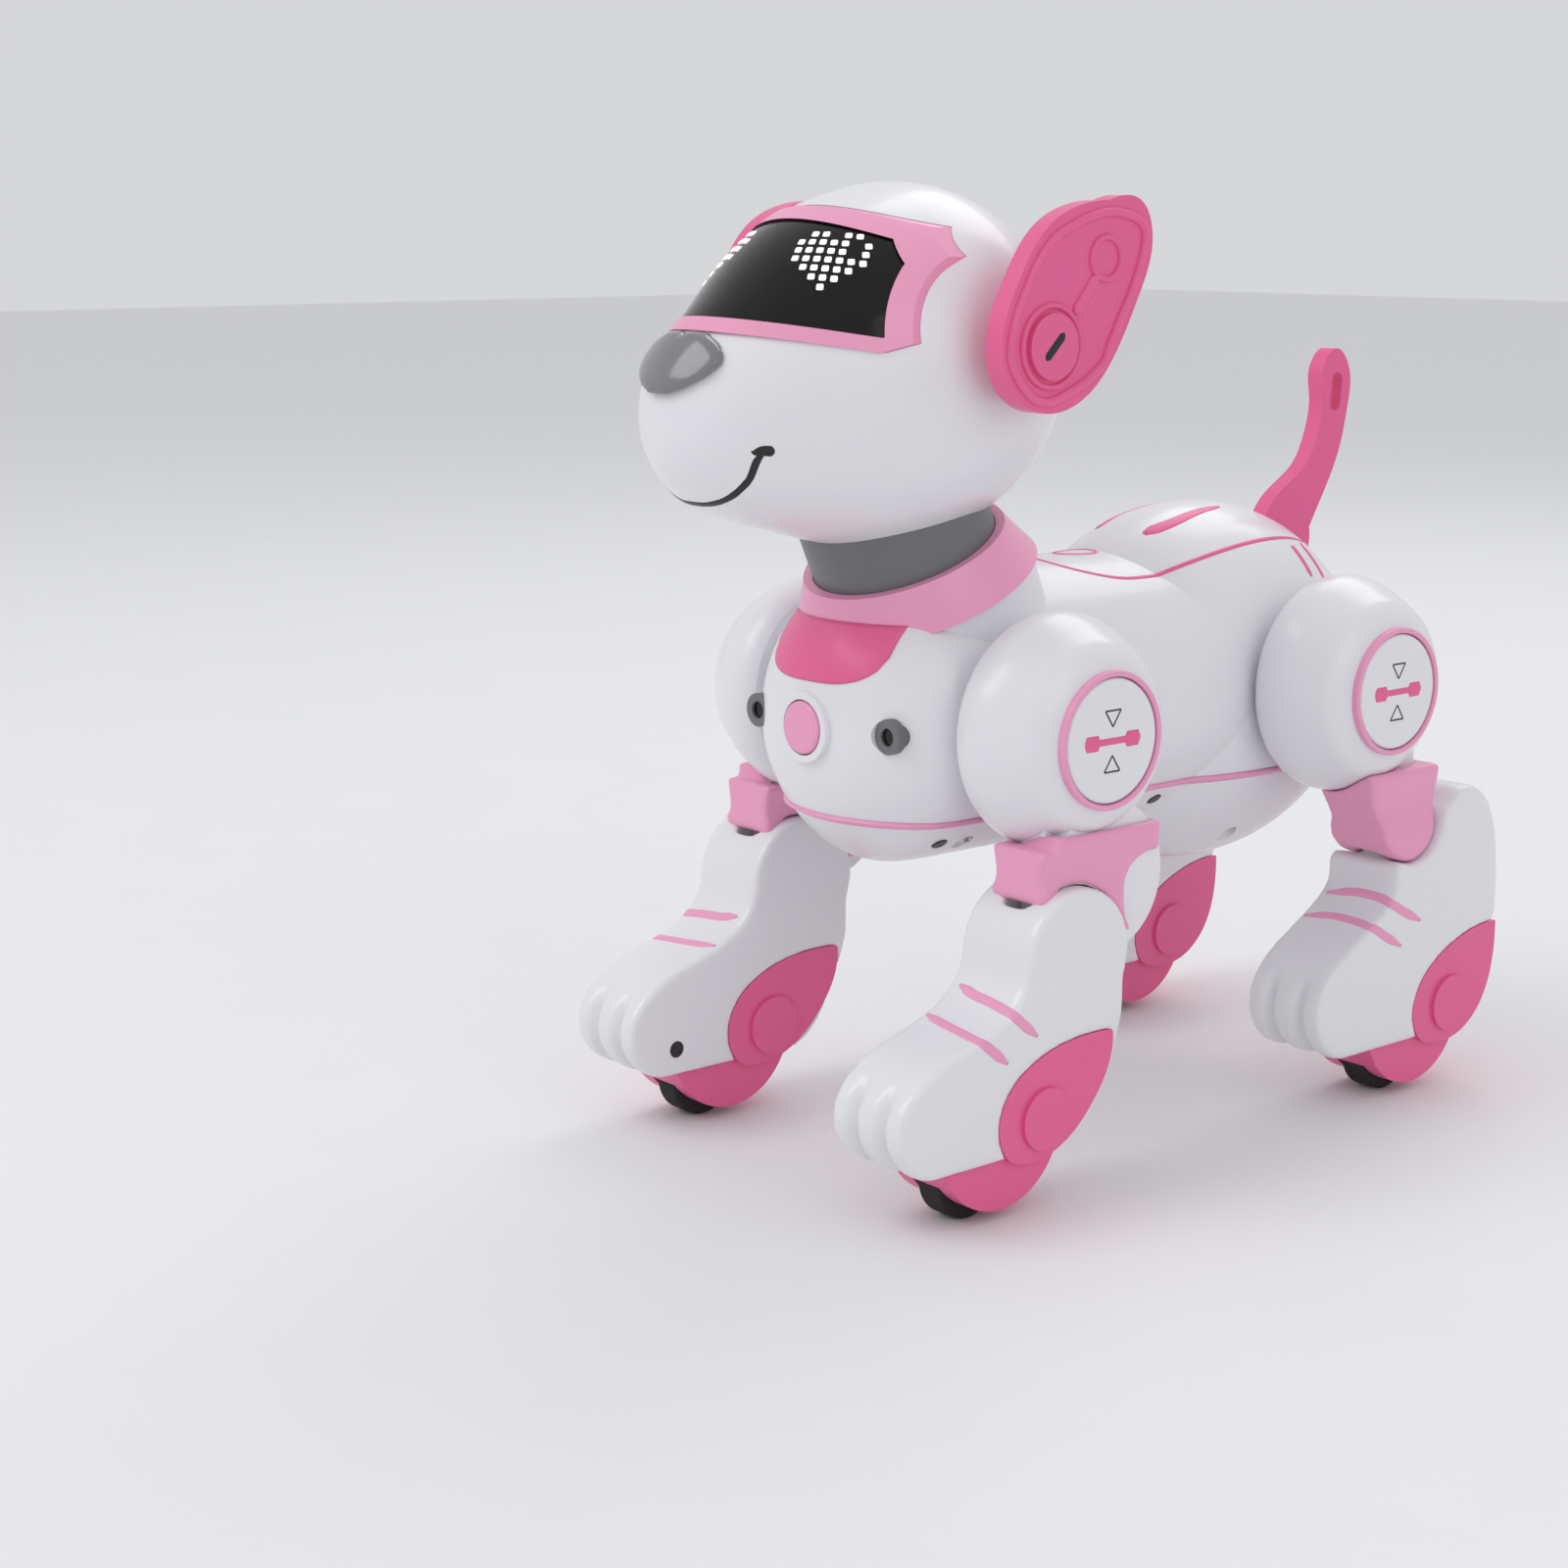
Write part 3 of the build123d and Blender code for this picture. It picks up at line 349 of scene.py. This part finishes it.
STRIPES = {
    "front": [[(44, -67, 55.5), (50, -68.5, 55), (57, -69, 54.5),
               (64, -69.5, 53.5), (67, -66, 50), (66.5, -61, 46)],
              [(42, -76.5, 50), (49, -78, 50), (57, -79, 49.5),
               (64, -79.5, 48.5), (67, -76, 45), (66.5, -71, 41)]],
    "rear": [[(43, 74, 57.5), (52, 75.5, 58.5), (60, 75.5, 58.5),
              (65, 75.5, 57.5), (67, 80, 54.5), (66.5, 88, 50.5)],
             [(41.5, 66, 52), (50, 68, 53), (59, 68, 53),
              (64.5, 67.5, 52.5), (67, 72, 49), (66.5, 80, 44.5)]],
}
PAW_SCREWS = {"front": (40, -90.9, 23.5), "rear": (40, 110.0, 58.0)}
CAP_BARS = (("bar", (-6.0, -2.0, 2.0, 6.0), 1.7), ("bar_back", (4.4, 7.0, 9.6), 3.9),
            ("bar_front", (-4.4, -7.0, -9.6), 3.9))
SHIN_VOXEL, SHIN_ROUNDS = 0.9, 22
KNEE_VOXEL, KNEE_ROUNDS = 0.8, 12
NOSE_VOXEL, NOSE_ROUNDS = 0.6, 22


def slot_fills(end, middle):
    """Blocks that close the front legs' open slots, at the shin and at the knee."""
    if end == "rear":
        return None, None
    hub_y, hub_z = HUBS[end]
    shin_fill = box_mesh((middle - 5, middle + 5), (hub_y - 23.0, hub_y - 17.5),
                         (hub_z - 56.0, hub_z - 45.0))
    knee_fill = box_mesh((middle - 9.5, middle + 9.5), (hub_y - 19.0, hub_y - 13.0),
                         (hub_z - 40.0, hub_z - 26.5))
    return shin_fill, knee_fill


def cap_marks(leg, side, hub_y, hub_z):
    """Two triangles and a bar on the hub cap's outer face."""
    cap = skin_tree(NODES[f"{leg}_hub_cap"])
    outer, inward = CAP_FACE_X * side, (-side, 0, 0)
    for number, way in enumerate((1, -1)):
        tip, base = hub_z + way * 3.6, hub_z + way * 7.6
        corners = [(outer, hub_y, tip), (outer, hub_y + 2.7, base), (outer, hub_y - 2.7, base)]
        ring = [Vector(a).lerp(Vector(b), t) for a, b in zip(corners, corners[1:] + corners[:1])
                for t in (0.06, 0.35, 0.65, 0.94)]
        inlay(f"{leg}_cap_triangle_{number + 1}", f"{leg}_thigh", ring, 0.45, cap, INK,
              rise=0.12, closed=True, toward=inward)
    for word, reach, width in CAP_BARS:
        bar = [(outer, hub_y + along, hub_z) for along in reach]
        inlay(f"{leg}_cap_{word}", f"{leg}_thigh", bar, width, cap, DARK_PINK,
              rise=0.2, toward=inward)


for end in ("front", "rear"):
    for side_name, side in SIDES:
        leg = f"{end}_{side_name}"
        shin_fill, knee_fill = slot_fills(end, side * LEG_X)
        shin = softened(f"{leg}_shin_shell", SHIN_VOXEL, SHIN_ROUNDS, f"{leg}_shin", WHITE,
                        toes(end, side), shin_fill)
        softened(f"{leg}_knee", KNEE_VOXEL, KNEE_ROUNDS, f"{leg}_thigh", LIGHT_PINK,
                 waist(end, side), knee_fill)
        tree = skin_tree(shin)
        for number, stripe in enumerate(STRIPES[end]):
            inlay(f"{leg}_paw_stripe_{number + 1}", f"{leg}_shin", flipped(stripe, side), 2.6, tree,
                  LIGHT_PINK, rise=0.25)
        spot = flipped([PAW_SCREWS[end]], side)[0]
        stud(f"{leg}_screw_hole", f"{leg}_shin", spot, 2.3, tree, INK, (side, 0, 0))
        cap_marks(leg, side, *HUBS[end])


# ---------------------------------------------------------------- face

HEART_ROWS = (".##.##.", "#####.#", "#####.#", "#######", ".#####.", "..###..", "...#...")
HEART_CENTRE = Vector((18.8, -88.5, 231.0))
HEART_FACING = Vector((0.39, -0.74, 0.54)).normalized()
DOT_PITCH, DOT_ROW, DOT_R = 2.75, 2.7, 0.9
DOT_SIDES = 16
DOT_PROFILE = ((0.9, -0.3), (1.0, 0.05), (0.85, 0.2), (0.45, 0.3))


def dots(name, side, tree):
    """Heart of lit rounded dots, seen in the visor's surface."""
    facing = Vector((side * HEART_FACING.x, HEART_FACING.y, HEART_FACING.z))
    sideways = Vector((0, 0, 1)).cross(facing).normalized() * side
    upwards = facing.cross(sideways).normalized() * side
    vertices, faces = [], []
    for row, line in enumerate(HEART_ROWS):
        for column, mark in enumerate(line):
            if mark == ".":
                continue
            middle = Vector((side * HEART_CENTRE.x, HEART_CENTRE.y, HEART_CENTRE.z))
            spot = middle + sideways * (column - 3) * DOT_PITCH + upwards * (3 - row) * DOT_ROW
            place, up = drop(tree, spot, -facing)
            across = up.cross(Vector((0, 0, 1))).normalized()
            rise = across.cross(up).normalized()
            first = len(vertices)
            for radius, height in DOT_PROFILE:
                for k in range(DOT_SIDES):
                    turn = 2 * math.pi * k / DOT_SIDES
                    square = 1 / max(abs(math.cos(turn)), abs(math.sin(turn))) ** 0.7
                    reach = DOT_R * radius * square
                    vertices.append(place + across * reach * math.cos(turn) + rise * reach * math.sin(turn)
                                    + up * height)
            faces += disc_faces(first, len(DOT_PROFILE), DOT_SIDES)
    return new_piece(name, "head", vertices, faces, HEART)


softened("nose", NOSE_VOXEL, NOSE_ROUNDS, "head", NOSE_GREY)
lens_tree = skin_tree(NODES["visor_lens"])
dots("heart_dots_left", 1, lens_tree)
dots("heart_dots_right", -1, lens_tree)

head_tree = skin_tree(NODES["head_front_shell"])
mouth = [(22.4, -112, 188.6), (20.7, -112.5, 186.2), (17.4, -113, 180.9),
         (12.0, -113.4, 176.7), (6.0, -114.5, 174.6), (0, -115, 174.2)]
mouth_line = mouth + flipped(mouth, -1)[::-1][1:]
inlay("mouth_line", "head", mouth_line, 1.9, head_tree, INK, rise=0.15, toward=(0, 1, 0))
mouth_corner = [(20.4, -112, 187.2), (21.6, -112, 188.0), (23.0, -111, 187.9)]
for word, side in SIDES:
    inlay(f"mouth_corner_{word}", "head", flipped(mouth_corner, side), 2.6,
          head_tree, INK, rise=0.15, toward=(0, 1, 0))


# ---------------------------------------------------------------- body trim

body_tree = skin_tree(NODES["torso_shell"], NODES["back_cover"])


def bib(name, tree):
    """Dark pink panel under the collar, lying on the chest, with a rounded lower edge."""
    columns, rows, low_z, high_z = 28, 14, 127.3, 142.0
    vertices, faces = [], []
    for layer in (0.35, -0.5):
        for row in range(rows + 1):
            for column in range(columns + 1):
                u, v = 2 * column / columns - 1, row / rows
                floor_z = low_z + 8.0 * (1 - math.sqrt(1 - min(abs(u), 0.999) ** 3.4))
                x, z = 21.0 * u, floor_z + (high_z - floor_z) * v
                place, up = drop(tree, (x, -90, z), (0, 1, 0))
                vertices.append(place + up * layer)
    row_length, layer_size = columns + 1, (rows + 1) * (columns + 1)
    for row in range(rows):
        for column in range(columns):
            a = row * row_length + column
            faces.append((a, a + 1, a + row_length + 1, a + row_length))
            faces.append(tuple(layer_size + k for k in (a, a + row_length, a + row_length + 1, a + 1)))
    edge = list(range(row_length))
    edge += [r * row_length + columns for r in range(1, rows + 1)]
    edge += [rows * row_length + c for c in range(columns - 1, -1, -1)]
    edge += [r * row_length for r in range(rows - 1, 0, -1)]
    for a, b in zip(edge, edge[1:] + edge[:1]):
        faces.append((a, layer_size + a, layer_size + b, b))
    return new_piece(name, "torso", vertices, faces, DARK_PINK)


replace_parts(bib("chest_bib", body_tree), "chest_panel")
half_seam = [(0, -3.0, 153.0), (8.0, -2.0, 151.5), (14.5, 3.5, 149.6), (19.0, 14.0, 147.4),
             (20.0, 28.0, 147.7), (22.3, 43.0, 151.0), (22.3, 64.0, 153.9), (17.5, 87.0, 152.5),
             (11.0, 100.0, 148.0)]
inlay("back_seam", "torso", flipped(half_seam, -1)[::-1] + half_seam[1:], 1.3, body_tree,
      DARK_PINK, rise=0.25)
badge = [(4.4 * math.sin(t), 16.0 + 6.5 * math.cos(t) - 1.2 * math.cos(2 * t), 156)
         for t in np.linspace(0, 2 * math.pi, 14, endpoint=False)]
inlay("back_ring", "torso", badge, 1.1, body_tree, DARK_PINK, rise=0.25, closed=True,
      toward=(0, 0, -1))
back_stripe = [(9.0, 33.0, 157.4), (10.4, 43.0, 159.5), (9.6, 54.0, 161.6), (8.5, 64.0, 162.5)]
for word, side in SIDES:
    inlay(f"back_stripe_{word}", "torso", flipped(back_stripe, side), 4.6, body_tree,
          DARK_PINK, rise=0.25, taper=0.6)
    for number, y in enumerate((80.0, 89.0)):
        back_slot = [(19.0, y - 1.0, 152.0), (24.0, y + 1.0, 148.0), (27.5, y + 2.0, 143.0)]
        inlay(f"back_slot_{word}_{number + 1}", "torso", flipped(back_slot, side), 2.4, body_tree,
              DARK_PINK, rise=0.25)


BODY_MIDDLE_Y = 20


def seam_band(name, low_z, high_z, nodes):
    """Strip that bridges the seam between the body and its tray, all the way round."""
    tree = skin_tree(*[NODES[node] for node in nodes])
    middle_z, vertices, steps = (low_z + high_z) / 2, [], 160
    for step in range(steps):
        turn = 2 * math.pi * step / steps
        direction = Vector((math.sin(turn), math.cos(turn), 0))
        reach = []
        for z in (high_z + 0.3, low_z - 0.3):
            centre = Vector((0, BODY_MIDDLE_Y, z))
            place, _, _, _ = tree.ray_cast(centre + direction * 200, -direction)
            reach.append((place - centre).length if place is not None else 30.0)
        top, low = reach
        for radius, z in ((top + 0.05, high_z), (max(top, low) + 0.45, middle_z), (low + 0.05, low_z),
                          (min(top, low) - 1.8, middle_z)):
            vertices.append(Vector((0, BODY_MIDDLE_Y, z)) + direction * radius)
    faces = []
    for step in range(steps):
        here, there = step * 4, (step + 1) % steps * 4
        for k in range(4):
            faces.append((here + k, there + k, there + (k + 1) % 4, here + (k + 1) % 4))
    return new_piece(name, "torso", vertices, faces, LIGHT_PINK)


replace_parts(seam_band("belly_seam_band", 90.7, 92.9, ("torso_shell", "belly_tray")), "belly_trim")
tray = skin_tree(NODES["belly_tray"])
for word, side in SIDES:
    for number, (x, y, z) in enumerate(((23.0, -55.0, 86.0), (26.0, 22.0, 86.5))):
        stud(f"belly_screw_hole_{word}_{number + 1}", "torso", (x * side, y, z), 2.2, tray,
             INK, (-0.6 * side, 0, 0.8))


# ---------------------------------------------------------------- ears

EAR_RIM = [(-32.5, 242.8), (-25.6, 242.0), (-21.0, 239.6), (-20.2, 236.0), (-21.6, 230.8), (-24.6, 223.8),
           (-28.2, 217.6), (-31.4, 211.8), (-33.6, 207.4), (-39.0, 203.4), (-44.6, 200.8), (-51.5, 198.6),
           (-56.6, 199.4), (-60.8, 202.6), (-64.2, 207.4), (-64.8, 212.0), (-63.2, 218.6), (-59.8, 225.4),
           (-56.2, 231.4), (-51.2, 236.6), (-45.6, 239.4), (-39.4, 241.6)]
EAR_HUB = (-51.4, 211.6)
EAR_KEY = (-33.5, 232.0)


def side_circle(x, middle, radius, count):
    """Points round a circle that faces sideways."""
    y, z = middle
    return [(x, y + radius * math.cos(t), z + radius * math.sin(t))
            for t in np.linspace(0, 2 * math.pi, count, endpoint=False)]


for word, side in SIDES:
    tree = skin_tree(NODES[f"{word}_ear"])
    inward = (-side, 0, 0)
    at = 56 * side
    body = f"{word}_ear"
    inlay(f"{word}_ear_rim", body, [(at, y, z) for y, z in EAR_RIM], 2.4, tree, DARK_PINK,
          rise=1.1, closed=True, toward=inward)
    inlay(f"{word}_ear_hub_ring", body, side_circle(at, EAR_HUB, 9.6, 16), 1.6, tree,
          DARK_PINK, rise=0.9, closed=True, toward=inward)
    inlay(f"{word}_ear_key_ring", body, side_circle(at, EAR_KEY, 5.0, 12), 1.6, tree,
          DARK_PINK, rise=0.9, closed=True, toward=inward)
    inlay(f"{word}_ear_key_stem", body, [(at, -36.5, 228.0), (at, -40.0, 223.5), (at, -44.0, 219.0)], 3.2,
          tree, DARK_PINK, rise=0.9, toward=inward)
    inlay(f"{word}_ear_hub_slot", body, [(at, -54.4, 208.6), (at, -51.4, 211.6), (at, -48.4, 214.6)], 2.2,
          tree, INK, rise=0.1, toward=inward)


# ---------------------------------------------------------------- stage, lights, camera

def area_light(name, place, aim, size, power):
    lamp = bpy.data.lights.new(name, "AREA")
    lamp.size = size
    lamp.energy = power
    lamp_object = bpy.data.objects.new(name, lamp)
    lamp_object.location = place
    lamp_object.rotation_euler = (Vector(aim) - Vector(place)).to_track_quat("-Z", "Y").to_euler()
    bpy.context.scene.collection.objects.link(lamp_object)


floor_mesh = bpy.data.meshes.new("floor")
floor_mesh.from_pydata([(-6, -6, 0), (6, -6, 0), (6, 6, 0), (-6, 6, 0)], [], [(0, 1, 2, 3)])
floor = bpy.data.objects.new("floor", floor_mesh)
bpy.context.scene.collection.objects.link(floor)
floor_mesh.materials.append(plastic("floor_paint", (0.86, 0.86, 0.87), 0.6, grain=0.002, tint=0.01,
                                    specular=0.2))
area_light("key", (-0.5, -1.2, 1.4), (0, 0, 0.12), 1.0, 7.5)
area_light("fill", (1.5, -0.1, 0.9), (0, 0, 0.12), 1.0, 2.2)
area_light("rim", (-0.4, 1.0, 1.3), (0, 0, 0.12), 0.9, 4.5)
world = bpy.data.worlds.new("studio")
bpy.context.scene.world = world
world.use_nodes = True
world.node_tree.nodes["Background"].inputs["Color"].default_value = (0.93, 0.94, 0.96, 1)
world.node_tree.nodes["Background"].inputs["Strength"].default_value = 0.72

azimuth, elevation = math.radians(44.85), math.radians(9.72)
back = Vector((math.sin(azimuth) * math.cos(elevation), -math.cos(azimuth) * math.cos(elevation),
               math.sin(elevation)))
right = Vector((math.cos(azimuth), math.sin(azimuth), 0))
up = back.cross(right)
aim = -back - 0.0919 * right - 0.0353 * up
camera_data = bpy.data.cameras.new("camera")
camera_data.lens = 63.66
camera_data.sensor_width = 36.0
camera_data.clip_start = 0.01
camera = bpy.data.objects.new("camera", camera_data)
camera.location = (0.5249, -0.5242, 0.2432)
camera.rotation_euler = aim.to_track_quat("-Z", "Y").to_euler()
bpy.context.scene.collection.objects.link(camera)
bpy.context.scene.camera = camera
bpy.context.scene.view_settings.view_transform = "Standard"

bpy.context.view_layer.update()
